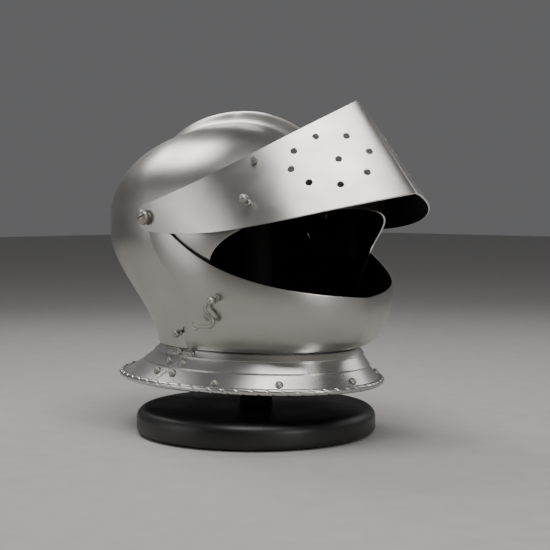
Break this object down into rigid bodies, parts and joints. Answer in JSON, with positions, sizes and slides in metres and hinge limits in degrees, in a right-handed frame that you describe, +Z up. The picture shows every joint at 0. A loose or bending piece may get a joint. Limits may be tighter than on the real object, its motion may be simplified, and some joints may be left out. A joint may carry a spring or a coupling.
{
  "type": "knight helmet",
  "caption": "Full-size close helmet with raised visor, chin piece, flared roped collar and locking hook, on a round black display stand.",
  "frame": {"origin": "centre of the display stand's underside, under the post", "axes": "+Z up, -Y is the way the wearer faces, -X is the wearer's right, which carries the hook and studs"},
  "size_m": [0.2644, 0.3838, 0.3182],
  "materials": {
    "plate_steel": "satin brushed sheet steel, blackened inside",
    "turned_steel": "polished turned steel",
    "liner_fabric": "black quilted cotton",
    "felt": "black felt",
    "black_lacquer": "satin black lacquer on turned wood",
    "zinc_bolt": "zinc plated"
  },
  "bodies": {
    "stand": {"stand_base": "black_lacquer", "stand_post": "black_lacquer", "head_rest": "black_lacquer", "base_bolt": "zinc_bolt", "base_felt": "felt"},
    "helmet": {"skull": "plate_steel", "liner": "liner_fabric", "catch_stud": "turned_steel", "rear_collar_upper_lame": "plate_steel", "rear_collar_middle_lame": "plate_steel", "rear_collar_flange": "plate_steel", "rear_seam_rivets": "turned_steel", "rear_lining_rivets": "turned_steel", "pivot_screw_left": "turned_steel", "pivot_screw_right": "turned_steel", "pivot_washer_left": "turned_steel", "pivot_washer_right": "turned_steel", "pivot_nut_left": "turned_steel", "pivot_nut_right": "turned_steel"},
    "chin_piece": {"bevor": "plate_steel", "hook_pivot_stud": "turned_steel", "front_collar_upper_lame": "plate_steel", "front_collar_middle_lame": "plate_steel", "front_collar_flange": "plate_steel", "front_seam_rivets": "turned_steel", "front_lining_rivets": "turned_steel"},
    "face_guard": {"visor": "plate_steel", "visor_ball_stud": "turned_steel", "visor_spike_stud": "turned_steel"},
    "hook": {"bevor_hook": "turned_steel"}
  },
  "joints": [
    {"name": "lift_off", "type": "slide", "parent": "stand", "child": "helmet", "axis": [0, 0, 1], "range_m": [0, 0.24]},
    {"name": "chin_hinge", "type": "hinge", "parent": "helmet", "child": "chin_piece", "pos_m": [0, 0.016, 0.212], "axis": [-1, 0, 0], "range_deg": [0, 40]},
    {"name": "visor_hinge", "type": "hinge", "parent": "chin_piece", "child": "face_guard", "pos_m": [0, 0.016, 0.212], "axis": [-1, 0, 0], "range_deg": [-26, 10]},
    {"name": "hook_swing", "type": "hinge", "parent": "chin_piece", "child": "hook", "pos_m": [-0.10713, -0.06289, 0.14035], "axis": [-0.9332, -0.2958, -0.2039], "range_deg": [-20, 45]}
  ]
}
